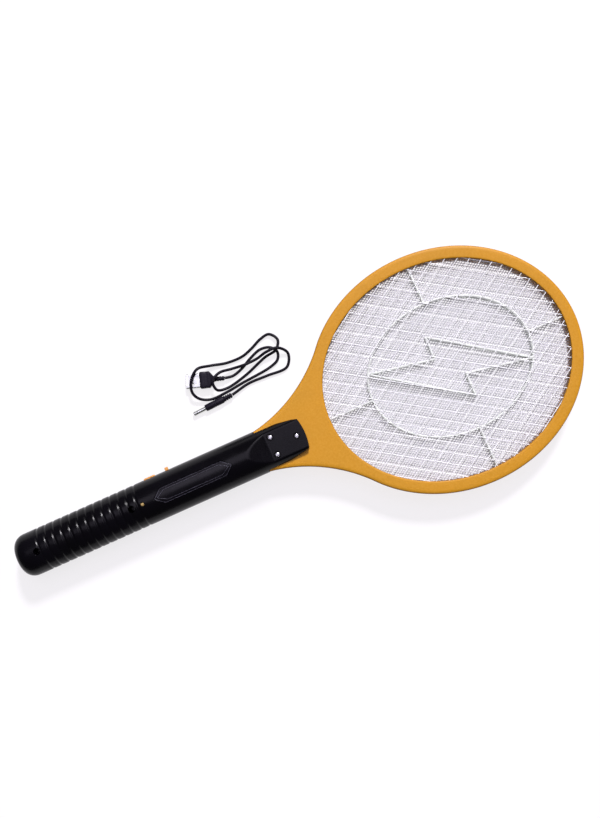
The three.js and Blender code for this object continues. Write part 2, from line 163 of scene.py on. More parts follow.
class Finish:  # one material and the nodes in it
    def __init__(self, name):
        self.material = bpy.data.materials.new(name)
        self.material.use_nodes = True
        self.tree = self.material.node_tree
        self.tree.nodes.clear()
        self.place = self.node("ShaderNodeTexCoord")("Object")

    # Settings are set first, then the sockets' values or links
    def node(self, kind, settings=None, sockets=None):
        made = self.tree.nodes.new(kind)
        for key, value in (settings or {}).items():
            setattr(made, key, value)
        for key, value in (sockets or {}).items():
            plug(self.tree, made.inputs[key], value)
        return lambda key: Wire(self.tree, made.outputs[key])

    def noise(self, size, detail=3.0, rough=0.55, place=None):
        sockets = {"Vector": place or self.place, "Scale": 1 / (size * mm), "Detail": detail,
                   "Roughness": rough}
        return self.node("ShaderNodeTexNoise", {}, sockets)(0)

    def stretched(self, x, y, z):
        sockets = {"Vector": self.place, "Scale": (x, y, z)}
        return self.node("ShaderNodeMapping", {}, sockets)("Vector")

    def mask(self, value, low, high):
        sockets = {"Value": value, "From Min": low, "From Max": high}
        return self.node("ShaderNodeMapRange", {"clamp": True}, sockets)(0)

    def blend(self, share, first, second):
        return self.node("ShaderNodeMix", {"data_type": "RGBA"}, {0: share, 6: first, 7: second})(2)

    def bump(self, height, depth, under=None):
        sockets = {"Height": height, "Strength": 1.0, "Distance": depth * mm}
        if under:
            sockets["Normal"] = under
        return self.node("ShaderNodeBump", {}, sockets)("Normal")

    def softEdge(self, radius):
        return self.node("ShaderNodeBevel", {"samples": 4}, {"Radius": radius * mm})("Normal")

    def surface(self, **sockets):
        named = {key.replace("_", " "): value for key, value in sockets.items()}
        shader = self.node("ShaderNodeBsdfPrincipled", {}, named)("BSDF")
        self.node("ShaderNodeOutputMaterial", {}, {"Surface": shader})
        return self.material


# Moulded plastic: a fine even grain, faint cloudy colour, handling marks in the gloss, and where asked a
# painted shade on steeply sloping sides
def moulded(name, v):
    f = Finish(name)
    cloud = f.noise(v.get("cloudSize", 30), 4)
    grain = f.noise(v.get("grainSize", 0.35), 2, 0.5)
    marks = f.mask(f.noise(v.get("markSize", 9), 5, 0.65), 0.45, 0.75)
    color = f.blend(f.mask(cloud, 0.3, 0.7), v["color"], v["second"])
    flecks = f.mask(grain, 0.35, 0.75) * v.get("fleck", 0.1)
    color = f.blend(flecks, color, v.get("fleckColor", (1, 1, 1)))
    if "paintedSideShade" in v:  # painted shade: steeply sloping sides, as if turned from the light, are darkened in the base colour
        up = f.node("ShaderNodeSeparateXYZ", {}, {0: f.node("ShaderNodeNewGeometry")("Normal")})("Z")
        sideShadeMask = 1 - f.mask(abs(up), 0.3, 0.93)
        color = f.blend(sideShadeMask, color, v["paintedSideShade"])
    rough = v["rough"] + marks * v.get("markRough", 0.08) + (grain - 0.5) * 0.1
    normal = f.bump(grain, v.get("grainDepth", 0.02), f.softEdge(v.get("edge", 0.25)))
    return f.surface(Base_Color=color, Roughness=rough, Normal=normal, IOR=v.get("ior", 1.46),
                     Specular_IOR_Level=v.get("gloss", 0.5), Subsurface_Weight=v.get("milky", 0.0),
                     Subsurface_Radius=(1, 1, 1), Subsurface_Scale=0.003)


# Plated metal: fine drawing lines, dull patches and a few darker spots; on the centre net the patches also
# carry painted shade
def plated(name, v):
    f = Finish(name)
    lines = f.noise(v.get("lineSize", 0.3), 3, 0.6, f.stretched(*v.get("stretch", (0.15, 1, 1))))
    dull = f.mask(f.noise(v.get("dullSize", 5), 4), 0.4, 0.75)
    color = f.blend(dull * v.get("dull", 0.35), v["color"], v["second"])
    rough = v["rough"] + dull * 0.12 + (lines - 0.5) * 0.15
    normal = f.bump(lines, v.get("lineDepth", 0.01), f.softEdge(v.get("edge", 0.12)))
    return f.surface(Base_Color=color, Roughness=rough, Metallic=v.get("metal", 1.0), Normal=normal)


finishes = {
    "handleBlack": moulded("handleBlack", {
        "color": (0.0013, 0.0011, 0.0017), "second": (0.0022, 0.0018, 0.0032), "rough": 0.22,
        "grainSize": 0.3, "grainDepth": 0.0012, "fleck": 0.02, "fleckColor": (0.03, 0.028, 0.045),
        "markSize": 14, "edge": 0.25, "gloss": 0.13}),
    "labelBlack": moulded("labelBlack", {
        "color": (0.0025, 0.0022, 0.0034), "second": (0.004, 0.0034, 0.0056), "rough": 0.24,
        "grainSize": 0.6, "grainDepth": 0.0012, "fleck": 0.01, "fleckColor": (0.05, 0.05, 0.06),
        "gloss": 0.18}),
    "labelLine": moulded("labelLine", {
        "color": (0.1, 0.095, 0.14), "second": (0.06, 0.056, 0.08), "rough": 0.3, "fleck": 0.05}),
    "frameOrange": moulded("frameOrange", {
        "color": (0.6, 0.268, 0.012), "second": (0.55, 0.255, 0.014), "rough": 0.42, "gloss": 0.22,
        "grainSize": 1.3, "grainDepth": 0.03, "fleck": 0.3, "fleckColor": (0.72, 0.38, 0.05),
        # the dark brown below is painted shade for the frame's steeply sloping sides
        "paintedSideShade": (0.2, 0.08, 0.008), "cloudSize": 45, "markSize": 16, "edge": 0.3}),
    "controlOrange": moulded("controlOrange", {
        "color": (0.68, 0.29, 0.02), "second": (0.62, 0.25, 0.02), "rough": 0.35, "edge": 0.15}),
    "spacerWhite": moulded("spacerWhite", {
        "color": (0.8, 0.83, 0.78), "second": (0.72, 0.76, 0.7), "rough": 0.42, "fleck": 0.02,
        "grainDepth": 0.01, "edge": 0.15, "milky": 1.0}),
    "plugBlack": moulded("plugBlack", {
        "color": (0.006, 0.005, 0.009), "second": (0.011, 0.009, 0.016), "rough": 0.38,
        "grainDepth": 0.003, "fleck": 0.04, "fleckColor": (0.1, 0.09, 0.14), "edge": 0.2,
        "gloss": 0.16}),
    "cableBlack": moulded("cableBlack", {
        "color": (0.006, 0.005, 0.009), "second": (0.01, 0.008, 0.014), "rough": 0.4,
        "grainSize": 0.5, "grainDepth": 0.002, "fleck": 0.01, "fleckColor": (0.1, 0.09, 0.14),
        "edge": 0.05, "gloss": 0.14}),
    "switchBlack": moulded("switchBlack", {
        "color": (0.02, 0.02, 0.023), "second": (0.03, 0.03, 0.033), "rough": 0.45}),
    "boardGreen": moulded("boardGreen", {
        "color": (0.02, 0.12, 0.04), "second": (0.03, 0.15, 0.05), "rough": 0.3}),
    "coilAmber": moulded("coilAmber", {
        "color": (0.5, 0.26, 0.04), "second": (0.42, 0.2, 0.03), "rough": 0.4}),
    "wireRed": moulded("wireRed", {
        "color": (0.42, 0.02, 0.015), "second": (0.35, 0.02, 0.015), "rough": 0.4}),
    "cellGreen": moulded("cellGreen", {
        "color": (0.02, 0.18, 0.07), "second": (0.03, 0.22, 0.09), "rough": 0.25}),
    "contactWhite": moulded("contactWhite", {
        "color": (0.75, 0.75, 0.72), "second": (0.7, 0.7, 0.66), "rough": 0.5}),
    "outerWire": plated("outerWire", {
        "color": (0.99, 0.99, 0.99), "second": (0.9, 0.9, 0.92), "rough": 0.42, "dull": 0.25,
        "metal": 0.1}),
    # the centre net's patches go to a greenish grey: partly the wire's own mottling, partly a painted
    # greenish shade
    "centreWire": plated("centreWire", {
        "color": (0.64, 0.62, 0.68), "second": (0.46, 0.48, 0.46), "rough": 0.5, "dullSize": 2.2,
        "dull": 0.5, "metal": 0.15, "lineSize": 1.0, "stretch": (1, 1, 1), "lineDepth": 0.05,
        "edge": 0.05}),
    "screwSteel": plated("screwSteel", {
        "color": (0.6, 0.6, 0.62), "second": (0.3, 0.3, 0.31), "rough": 0.24, "edge": 0.15}),
    # painted shade: the grip screws' steel is darkened to near black, as if deep in the shade of their
    # seats
    "screwPaintedShade": plated("screwPaintedShade", {
        "color": (0.05, 0.05, 0.052), "second": (0.03, 0.03, 0.03), "rough": 0.5, "edge": 0.15}),
    "springSteel": plated("springSteel", {
        "color": (0.6, 0.6, 0.6), "second": (0.4, 0.4, 0.4), "rough": 0.3}),
    "plugMetal": plated("plugMetal", {
        "color": (0.6, 0.62, 0.58), "second": (0.36, 0.38, 0.34), "rough": 0.28, "edge": 0.2}),
}
print("finishes made:", len(finishes))


class Solid:  # points and faces in millimetres
    def __init__(self):
        self.points = []
        self.faces = []

    # Rings of equal length, joined in order
    def tube(self, rings, caps=True):
        start, count = len(self.points), len(rings[0])
        for ring in rings:
            self.points += ring
        for row in range(len(rings) - 1):
            for i in range(count):
                a, b = start + row * count + i, start + row * count + (i + 1) % count
                self.faces.append((a, b, b + count, a + count))
        if caps:
            last = start + (len(rings) - 1) * count
            self.faces.append(tuple(start + i for i in reversed(range(count))))
            self.faces.append(tuple(last + i for i in range(count)))
        return self

    # A flat outline with holes, whose walls follow a profile of (inset, height)
    def slab(self, outline, holes, profile, turn=lambda u, v, w: (u, v, w)):
        loops = [(outline, 1)] + [(hole, -1) for hole in holes]
        ends = {0: [], len(profile) - 1: []}
        for loop, side in loops:
            start, count = len(self.points), len(loop)
            for inset, height in profile:
                self.points += [turn(u, v, height) for u, v in offsetLoop(loop, inset * side)]
            for row in range(len(profile) - 1):
                for i in range(count):
                    a, b = start + row * count + i, start + row * count + (i + 1) % count
                    self.faces.append((a, b, b + count, a + count))
            for row, lids in ends.items():
                lids.append((offsetLoop(loop, profile[row][0] * side), start + row * count))
        for lids in ends.values():
            self.lid(lids)
        return self

    # A flat face between loops, each given with the number of its first point
    def lid(self, loops):
        index = [first + i for loop, first in loops for i in range(len(loop))]
        for corners in tessellate_polygon([[Vector((u, v, 0)) for u, v in loop] for loop, first in loops]):
            self.faces.append(tuple(index[c] for c in corners))


# An outline moved inwards by the same distance all round
def offsetLoop(loop, inset):
    moved = []
    for i, point in enumerate(loop):
        here = Vector(point)
        before = (here - Vector(loop[i - 1])).normalized()
        after = (Vector(loop[(i + 1) % len(loop)]) - here).normalized()
        inward = Vector((-before.y - after.y, before.x + after.x)).normalized()
        reach = inset / max(0.3, inward.dot(Vector((-before.y, before.x))))
        moved.append((point[0] + inward.x * reach, point[1] + inward.y * reach))
    return moved


# A wall's profile with rounded edges at the bottom and the top
def roundedSides(low, high, lowRadius, highRadius, steps=4):
    profile = []
    for i in range(steps + 1):
        a = math.pi / 2 * i / steps
        profile.append((lowRadius * (1 - math.sin(a)), low + lowRadius * (1 - math.cos(a))))
    for i in range(steps + 1):
        a = math.pi / 2 * i / steps
        profile.append((highRadius * (1 - math.cos(a)), high - highRadius * (1 - math.sin(a))))
    return profile


def ovalLoop(a, b, count=160, x=headX, y=0):
    turns = [2 * math.pi * i / count for i in range(count)]
    return [(x + a * math.cos(t), y + b * math.sin(t)) for t in turns]


def boxLoop(x0, x1, y0, y1):
    return [(x0, y0), (x1, y0), (x1, y1), (x0, y1)]


def roundBox(x0, x1, y0, y1, radius, steps=5):
    loop = []
    for cx, cy, first in ((x1 - radius, y1 - radius, 0), (x0 + radius, y1 - radius, 1),
                          (x0 + radius, y0 + radius, 2), (x1 - radius, y0 + radius, 3)):
        for i in range(steps + 1):
            a = math.pi / 2 * (first + i / steps)
            loop.append((cx + radius * math.cos(a), cy + radius * math.sin(a)))
    return loop


# A ring of points round the x axis
def ringX(x, y, z, radius, sides):
    turns = [2 * math.pi * i / sides for i in range(sides)]
    return [(x, y + radius * math.cos(t), z + radius * math.sin(t)) for t in turns]


def ringZ(x, y, z, radius, sides):
    turns = [2 * math.pi * i / sides for i in range(sides)]
    return [(x + radius * math.cos(t), y + radius * math.sin(t), z) for t in turns]


def postZ(x, y, z0, z1, radius, sides=32):
    return Solid().tube([ringZ(x, y, z0, radius, sides), ringZ(x, y, z1, radius, sides)])


def block(x0, x1, y0, y1, z0, z1):
    return Solid().slab(boxLoop(x0, x1, y0, y1), [], [(0, z0), (0, z1)])


# A mesh without a finish, welded and with its faces turned outwards
def raw(name, solid, place=onSwatter):
    mesh = bpy.data.meshes.new(name)
    mesh.from_pydata([place(*p) for p in solid.points], [], solid.faces)
    work = bmesh.new()
    work.from_mesh(mesh)
    bmesh.ops.remove_doubles(work, verts=work.verts, dist=1e-7)
    bmesh.ops.recalc_face_normals(work, faces=work.faces)
    work.to_mesh(mesh)
    work.free()
    piece = bpy.data.objects.new(name, mesh)
    bpy.context.scene.collection.objects.link(piece)
    return piece


# Takes the cutters out of a piece, or keeps only what they share
def carve(piece, cutters, operation="DIFFERENCE"):
    for cutter in cutters:
        change = piece.modifiers.new("change", "BOOLEAN")
        change.operation = operation
        change.object = cutter
        change.solver = "MANIFOLD"
    graph = bpy.context.evaluated_depsgraph_get()
    made = bpy.data.meshes.new_from_object(piece.evaluated_get(graph))
    piece.modifiers.clear()
    piece.data = made
    for cutter in cutters:
        bpy.data.objects.remove(cutter)
    return piece


# Gives a piece its finish and its body, and hides the CAD parts that it stands for
def settle(piece, finish, nodes=(), body="swatter", sharp=35):
    piece.data.materials.clear()
    piece.data.materials.append(finishes[finish])
    piece.data.shade_smooth()
    piece.data.set_sharp_from_angle(angle=math.radians(sharp))
    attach(piece, body)
    if nodes:
        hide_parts(*nodes)
    return piece


# The floor glows a little, so that it stays white and its shadows stay pale
floorLook = {"half": 2000.0, "thick": 20, "color": (0.2, 0.196, 0.204), "second": (0.19, 0.186, 0.194),
             "cloudSize": 400, "rough": 0.7, "glow": (0.79, 0.77815, 0.79)}


def makeFloor(v):
    half = v["half"]
    floor = raw("floor", block(-half, half, -half, half, -v["thick"], 0), onFloor)
    f = Finish("floor")
    cloud = f.mask(f.noise(v["cloudSize"], 4), 0.3, 0.7)
    color = f.blend(cloud, v["color"], v["second"])
    floor.data.materials.append(f.surface(
        Base_Color=color, Roughness=v["rough"] + 0.1 * cloud,
        Emission_Color=v["glow"], Emission_Strength=1.0))
    print("floor made")


makeFloor(floorLook)

# Plugs' ends are where the cable leaves them, and turns are in degrees
lead = {"diameter": 2.4, "sides": 16, "steps": 10, "usbEnd": (209.6, 68.5, 3.7), "usbTurn": -18.5,
        "roundEnd": (209.6, 53.3, 2.9), "roundTurn": 3.0}

# From the USB plug, round the loops and back to the round plug
cableRoute = [
    (209.9, 68.4, 3.7), (217, 67.6, 2), (226, 70.2, 1.6), (236, 75.2, 1.6), (246, 78.5, 1.6),
    (254.2, 76.8, 1.6), (258.4, 71.2, 1.6), (256, 65, 1.6), (248.6, 61.8, 1.6), (221, 58.9, 1.6),
    (206, 57.2, 1.6), (192, 57.1, 2), (183.6, 61.4, 4.2), (180.6, 68, 7), (183.6, 77, 8.4),
    (191.8, 84, 8.4), (203, 82.8, 3.2), (216, 79.6, 1.6), (230, 79.2, 1.6), (240, 82.2, 1.6),
    (249.6, 86.3, 1.6), (257.8, 87.2, 2), (262.7, 79.9, 3.6), (258.1, 72.8, 4.2), (247.2, 70.8, 2.8),
    (226, 63.6, 1.6), (208, 60.1, 2.7), (200.1, 61.9, 6), (199.8, 69.7, 8.7), (207.4, 74, 7.2),
    (218, 73.2, 3.2), (229, 71.9, 4.4), (240, 72.3, 3.6), (250, 74, 7), (259.5, 73.6, 6.9),
    (266, 66.4, 2.6), (260.7, 56.2, 1.6), (242.4, 56.2, 1.6), (226, 56.5, 1.6), (209.9, 53.3, 2.9),
]


# A smooth line through the route's points, evenly tight at each of them
def smoothLine(points, steps):
    p = [Vector(q) for q in points]
    p = [2 * p[0] - p[1], *p, 2 * p[-1] - p[-2]]
    line = []
    for i in range(1, len(p) - 2):
        d = [max(1e-6, math.sqrt((p[i + k] - p[i + k - 1]).length)) for k in range(3)]
        into = ((p[i] - p[i - 1]) / d[0] - (p[i + 1] - p[i - 1]) / (d[0] + d[1])
                + (p[i + 1] - p[i]) / d[1]) * d[1]
        away = ((p[i + 1] - p[i]) / d[1] - (p[i + 2] - p[i]) / (d[1] + d[2])
                + (p[i + 2] - p[i + 1]) / d[2]) * d[1]
        for k in range(steps):
            t = k / steps
            line.append(p[i] + into * t + (-3 * p[i] + 3 * p[i + 1] - 2 * into - away) * t ** 2
                        + (2 * p[i] - 2 * p[i + 1] + into + away) * t ** 3)
    return line + [p[-2]]


def tubeAlong(line, radius, sides):
    side = Vector((0, 0, 1)).cross(line[1] - line[0]).normalized()
    rings = []
    for i, point in enumerate(line):
        ahead = (line[min(i + 1, len(line) - 1)] - line[max(i - 1, 0)]).normalized()
        side = (side - ahead * side.dot(ahead)).normalized()
        up = ahead.cross(side)
        turns = [2 * math.pi * k / sides for k in range(sides)]
        rings.append([tuple(point + (side * math.cos(t) + up * math.sin(t)) * radius) for t in turns])
    return rings


# Plug pieces are drawn along x, with the strain relief's end at 0 and the contacts at -x
def atPlug(end, turn):
    c, s = math.cos(math.radians(turn)), math.sin(math.radians(turn))
    return lambda x, y, z: onFloor(end[0] + x * c - y * s, end[1] + x * s + y * c, end[2] + z)


# A ring between an oval and a box, squarer with a higher power
def softRing(x, width, height, power, sides=48):
    ring = []
    for i in range(sides):
        a = 2 * math.pi * (i + 0.5) / sides
        c, s = math.cos(a), math.sin(a)
        ring.append((x, width * math.copysign(abs(c) ** (2 / power), c),
                     height * math.copysign(abs(s) ** (2 / power), s)))
    return ring


# The ribbed strain relief, getting a little thinner towards the cable
def reliefRings(start, end, big, small, count, sides=48):
    rings = []
    step = (end - start) / count
    for i in range(count):
        x = start + i * step
        shrink = 1 - 0.12 * i / count
        for along, radius in ((0.08, big), (0.6, big), (0.68, small), (0.98, small)):
            rings.append(softRing(x + along * step, radius * shrink, radius * shrink, 2, sides))
    return rings


def makeUsbPlug():
    place = atPlug(lead["usbEnd"], lead["usbTurn"])
    rings = [softRing(x, w, h, p) for x, w, h, p in (
        (-20.3, 6.2, 2.9, 7), (-20.1, 6.75, 3.35, 7), (-19.6, 7, 3.6, 7), (-16.6, 7, 3.6, 7),
        (-16.2, 6.85, 3.45, 7), (-13.6, 6.85, 3.45, 7), (-13.2, 7, 3.6, 7), (-12.5, 6.9, 3.55, 6),
        (-11.5, 5.9, 3.2, 5), (-10.3, 4.4, 2.8, 4), (-9.2, 3, 2.4, 3), (-8.5, 2.35, 2.2, 2))]
    rings += reliefRings(-8.4, 0, 2.1, 1.75, 4)
    body = settle(raw("usbPlugBody", Solid().tube(rings), place), "plugBlack",
                  ["usb_plug_body"], "charging_lead")
    outside = Solid().tube([softRing(x, 6, 2.25, 14) for x in (-32, -20.6)])
    hollow = Solid().tube([softRing(x, 5.62, 1.87, 14) for x in (-33, -21.2)])
    shell = raw("usbPlugShell", outside, place)
    inside = raw("inside", hollow, place)
    windows = [raw("window", block(-27.5, -25.3, y - 1.1, y + 1.1, -4, 4), place) for y in (-2.7, 2.7)]
    carve(shell, [inside, *windows])
    settle(shell, "plugMetal", ["usb_plug_shell"], "charging_lead")
    return [body, shell]


def makeRoundPlug():
    place = atPlug(lead["roundEnd"], lead["roundTurn"])
    profile = ((-24.5, 2.3), (-24.3, 2.62), (-23.8, 2.8), (-17, 2.88), (-16.8, 2.7), (-16.2, 2.7),
               (-16, 2.88), (-15.4, 2.88), (-15.2, 2.7), (-14.6, 2.7), (-14.4, 2.88), (-9, 2.88),
               (-8, 2.6), (-7.6, 2.1))
    rings = [softRing(x, r, r, 2, 40) for x, r in profile]
    rings += reliefRings(-7.3, 0, 2.45, 1.75, 4, 40)
    body = settle(raw("roundPlugBody", Solid().tube(rings), place), "plugBlack",
                  ["round_plug_body"], "charging_lead")
    outside = [(-24.8, 1.75), (-34.9, 1.75), (-35.3, 1.45), (-35.3, 0.7), (-26, 0.7), (-26, 0.1)]
    tube = Solid().tube([softRing(x, r, r, 2, 32) for x, r in outside])
    barrel = settle(raw("roundPlugBarrel", tube, place), "plugMetal",
                    ["round_plug_barrel"], "charging_lead")
    return [body, barrel]


def makeLead():
    plugs = makeUsbPlug() + makeRoundPlug()
    line = smoothLine(cableRoute, lead["steps"])
    solid = Solid().tube(tubeAlong(line, lead["diameter"] / 2, lead["sides"]))
    cable = settle(raw("leadCable", solid, onFloor), "cableBlack", ["lead_cable"],
                   "charging_lead", 60)
    path = [onFloor(*p) for p in line]


makeLead()

grip = {"first": 22.3, "pitch": 7.08, "count": 13, "width": 3.6, "depth": 0.5,
        "dome": 10, "endRadius": 8.6, "slopeStart": 203, "slopeEnd": 221, "flatHeight": 13,
        "blend": 0.5, "sides": 168, "end": 258, "step": 4, "fineStep": 0.7, "fineFrom": 192,
        "throatFrom": 190, "bow": 3.2}

# Half the throat's width along the handle
throatPlan = [(217, 20), (219, 17.9), (230, 16.7), (238, 15.2), (246, 13.9), (250.6, 12.4)]


# A domed butt, then smooth round grooves
def gripRadius(x):
    radius = handleRadius
    if x < grip["dome"]:
        rise = math.sqrt(max(0, 1 - (1 - x / grip["dome"]) ** 2))
        radius = grip["endRadius"] + (handleRadius - grip["endRadius"]) * rise
    away = (x - grip["first"]) / grip["pitch"]
    nearest = round(away)
    if 0 <= nearest < grip["count"]:
        off = abs(away - nearest) * grip["pitch"] / grip["width"]
        if off < 0.5:
            radius -= grip["depth"] * (1 + math.cos(2 * math.pi * off)) / 2
    return radius


def stationsAlongGrip():
    stations = [0, 0.1, 0.3, 0.6, 1, 1.6, 2.4, 3.4, 4.6, 6, 8, 10, 12, 15, 18]
    half = grip["width"] / 2 / grip["pitch"]
    spread = [half * k for k in (0, 0.12, 0.24, 0.36, 0.48, 0.6, 0.72, 0.84, 0.94, 1, 1.2)] + [0.4]
    for i in range(grip["count"]):
        for off in [-k for k in reversed(spread)] + spread[1:]:
            stations.append(grip["first"] + (i + off) * grip["pitch"])
    x = stations[-1] + grip["step"]
    while x < grip["end"]:
        stations.append(x)
        x += grip["step"] if x < grip["fineFrom"] else grip["fineStep"]
    return stations


# The smaller of two sizes, with a rounded change from one to the other
def softMin(a, b, blend):
    share = max(0, 1 - abs(a - b) / blend)
    return min(a, b) - share * share * blend / 4


def widthAt(x):
    for (x0, w0), (x1, w1) in zip(throatPlan, throatPlan[1:]):
        if x0 <= x <= x1:
            return w0 + (w1 - w0) * (x - x0) / (x1 - x0)
    return 30 if x < throatPlan[0][0] else throatPlan[-1][1]


# The handle's outline at one place: round, then cut down to the throat's flat and sides
def gripSection(x):
    slope = (handleRadius - grip["flatHeight"]) / (grip["slopeEnd"] - grip["slopeStart"])
    height = max(grip["flatHeight"], handleRadius - slope * (x - grip["slopeStart"]))
    ring = []
    for i in range(grip["sides"]):
        a = 2 * math.pi * i / grip["sides"]
        c, s = math.cos(a), math.sin(a)
        reach = gripRadius(x)
        if x > grip["throatFrom"]:
            reach = softMin(reach, height / max(abs(s), 1e-3), grip["blend"])
            reach = softMin(reach, widthAt(x) / max(abs(c), 1e-3), grip["blend"])
        ring.append((x, reach * c, reach * s))
    return ring


# The handle seen from above, with a bowed end over the head
def endCap():
    (x, y), (tipX, tipY) = throatPlan[-2:]
    loop = [(-5, -25), (x, -25), (x, -y)]
    for i in range(17):
        t = i / 16
        loop.append((tipX + 2 * t * (1 - t) * grip["bow"], tipY * (2 * t - 1)))
    return loop + [(x, y), (x, 25), (-5, 25)]


lamp = {"x": 111, "radius": 1.5, "foot": 10.2, "shoulder": 16.8, "rise": 1.3, "hole": 1.85,
        "color": (0.9, 0.62, 0.22), "second": (0.82, 0.6, 0.26)}
label = {"start": 121, "end": 189, "half": 6.7, "point": 7, "radius": 17.55, "rows": 24}


# The label's outline laid on the handle's round surface, as a closed plate
def labelPlate(grow, low, high):
    half = label["half"] + grow
    rows = label["rows"]
    tip = label["point"]
    edge = []
    for j in range(rows + 1):
        y = half * (2 * j / rows - 1)
        inward = tip * abs(y) / half
        edge.append((label["start"] - grow + inward, label["end"] + grow - inward, y / handleRadius))
    solid = Solid()
    for radius in (low, high):
        for x0, x1, a in edge:
            for x in (x0, x0 + (x1 - x0) / 2, x1):
                solid.points.append((x, radius * math.sin(a), radius * math.cos(a)))
    layer = 3 * (rows + 1)
    for j in range(rows):
        for i in range(2):
            a = 3 * j + i
            solid.faces.append((a, a + 1, a + 4, a + 3))
            solid.faces.append((layer + a, layer + a + 3, layer + a + 4, layer + a + 1))
        for a in (3 * j, 3 * j + 2):
            solid.faces.append((a, a + 3, layer + a + 3, layer + a))
    for first in (0, 3 * rows):
        for i in range(2):
            a = first + i
            solid.faces.append((a, layer + a, layer + a + 1, a + 1))
    return solid


# A raised line round the label
def labelLine(inset, wire):
    half, tip = label["half"] - inset, label["point"]
    x0, x1 = label["start"] + inset * 1.3, label["end"] - inset * 1.3
    corners = [(x0, 0), (x0 + tip, -half), (x1 - tip, -half), (x1, 0), (x1 - tip, half),
               (x0 + tip, half)]
    line = []
    for (ax, ay), (bx, by) in zip(corners, corners[1:] + corners[:1]):
        for k in range(12):
            x, y = ax + (bx - ax) * k / 12, ay + (by - ay) * k / 12
            a = y / handleRadius
            line.append(Vector((x, label["radius"] * math.sin(a), label["radius"] * math.cos(a))))
    rings = tubeAlong(line + line[:1], wire, 8)
    return Solid().tube(rings, False)


gripScrews = [19.4, 101.7]
throatScrews = [(225, 7.5), (225, -7.5), (245, 0)]
screwSize = {"head": 2.3, "height": 1.6, "shank": 1.2, "seat": 2.85, "gripZ": 6.9, "throatZ": 10.7,
             "end": -11, "slotHalf": 0.27, "slotReach": 1.35, "slotFloor": 0.75}


def screwSeats():
    places = [(x, 0, screwSize["gripZ"]) for x in gripScrews]
    places += [(x, y, screwSize["throatZ"]) for x, y in throatScrews]
    cutters = []
    for x, y, z in places:
        cutters.append(raw("seat", postZ(x, y, z - 0.3, 22, screwSize["seat"], 48)))
        cutters.append(raw("hole", postZ(x, y, -12, z, screwSize["shank"] + 0.3, 24)))
    return cutters


# Boxes cut out of the handle: two for the head's throat, one for each control, one for the wires
handleHoles = {"tongue": (205.7, 214, -12.3, 12.3, -7.8, 7.8), "throat": (213.4, 262, -30, 30, -7.8, 7.8),
               "button": (115.8, 128.2, 13, 22, -3.4, 3.4), "knob": (135.6, 142.7, 13, 22, -1.7, 1.7),
               "pass": (203, 207, -5.3, 5.3, -1.5, 1.5)}


def makeHandle():
    whole = Solid().tube([gripSection(x) for x in stationsAlongGrip()])
    for half, side in (("Back", 1), ("Front", -1)):
        shell = raw("handleShell" + half, whole)
        low, high = sorted((0.15 * side, 40 * side))
        plan = raw("plan", Solid().slab(endCap(), [], [(0, low), (0, high)]))
        carve(shell, [plan], "INTERSECT")
        cavity = [ringX(x, 0, 0, handleRadius - 2.5, 96) for x in (6, 204)]
        socket = [ringX(x, 0, 0, 3.2, 48) for x in (-1, 7)]
        cutters = [raw("cavity", Solid().tube(cavity)), raw("socket", Solid().tube(socket))]
        cutters += [raw(name, block(*box)) for name, box in handleHoles.items()]
        if side > 0:
            cutters.append(raw("lamp", postZ(lamp["x"], 0, 10, 22, lamp["hole"], 40)))
            cutters.append(raw("pocket", labelPlate(0.35, 16.7, 19)))
            cutters += screwSeats()
        carve(shell, cutters)
        settle(shell, "handleBlack", ["handle_" + half.lower() + "_shell"], sharp=28)
    plate = raw("labelPlate", labelPlate(0, 17.05, label["radius"]))
    settle(plate, "labelBlack", ["label_plate"])
    for inset, name in ((0.5, "labelLineOuter"), (2.4, "labelLineInner")):
        settle(raw(name, labelLine(inset, 0.1)), "labelLine", [], sharp=60)
    print("handle made")


makeHandle()


def makeScrew(name, node, finish, x, y, z):
    r, h = screwSize["head"], screwSize["height"]
    dome = [(0, 0.2), (0, r - 0.15), (0.12, r), (h * 0.5, r), (h * 0.72, r * 0.9), (h * 0.88, r * 0.7),
            (h * 0.97, r * 0.4), (h, 0.05)]
    head = raw(name, Solid().tube([ringZ(x, y, z + up, radius, 48) for up, radius in dome]))
    long, thin, floor = screwSize["slotReach"], screwSize["slotHalf"], z + screwSize["slotFloor"]
    arms = [raw("arm", block(x - along, x + along, y - across, y + across, floor, z + 3))
            for along, across in ((long, thin), (thin, long))]
    carve(head, arms)
    settle(head, finish, [node])
    shank = postZ(x, y, screwSize["end"], z + 0.1, screwSize["shank"], 24)  # ends inside the head
    settle(raw(name + "Shank", shank), finish, [])


def makeScrews():
    for i, x in enumerate(gripScrews, 1):
        # the grip screws take the painted shade finish
        makeScrew(f"gripScrew{i}", f"grip_screw_{i}", "screwPaintedShade", x, 0, screwSize["gripZ"])
    for i, (x, y) in enumerate(throatScrews, 1):
        makeScrew(f"throatScrew{i}", f"throat_screw_{i}", "screwSteel", x, y, screwSize["throatZ"])
    print("screws made")


makeScrews()

# Tops are measured from the handle's axis, and each has a wider foot that keeps it in
button = {"x": 122, "length": 10, "half": 3, "top": 18.8, "ridges": 5, "ridgeStep": 1.7, "foot": 1.4,
          "stem": 1.4}
knob = {"x": 137.4, "half": 1.4, "height": 1.3, "top": 20.2, "footLength": 3.2, "footHeight": 3}


# Lays an outline drawn in x and z across the handle, growing along y
def sideways(u, v, w):
    return (u, w, v)


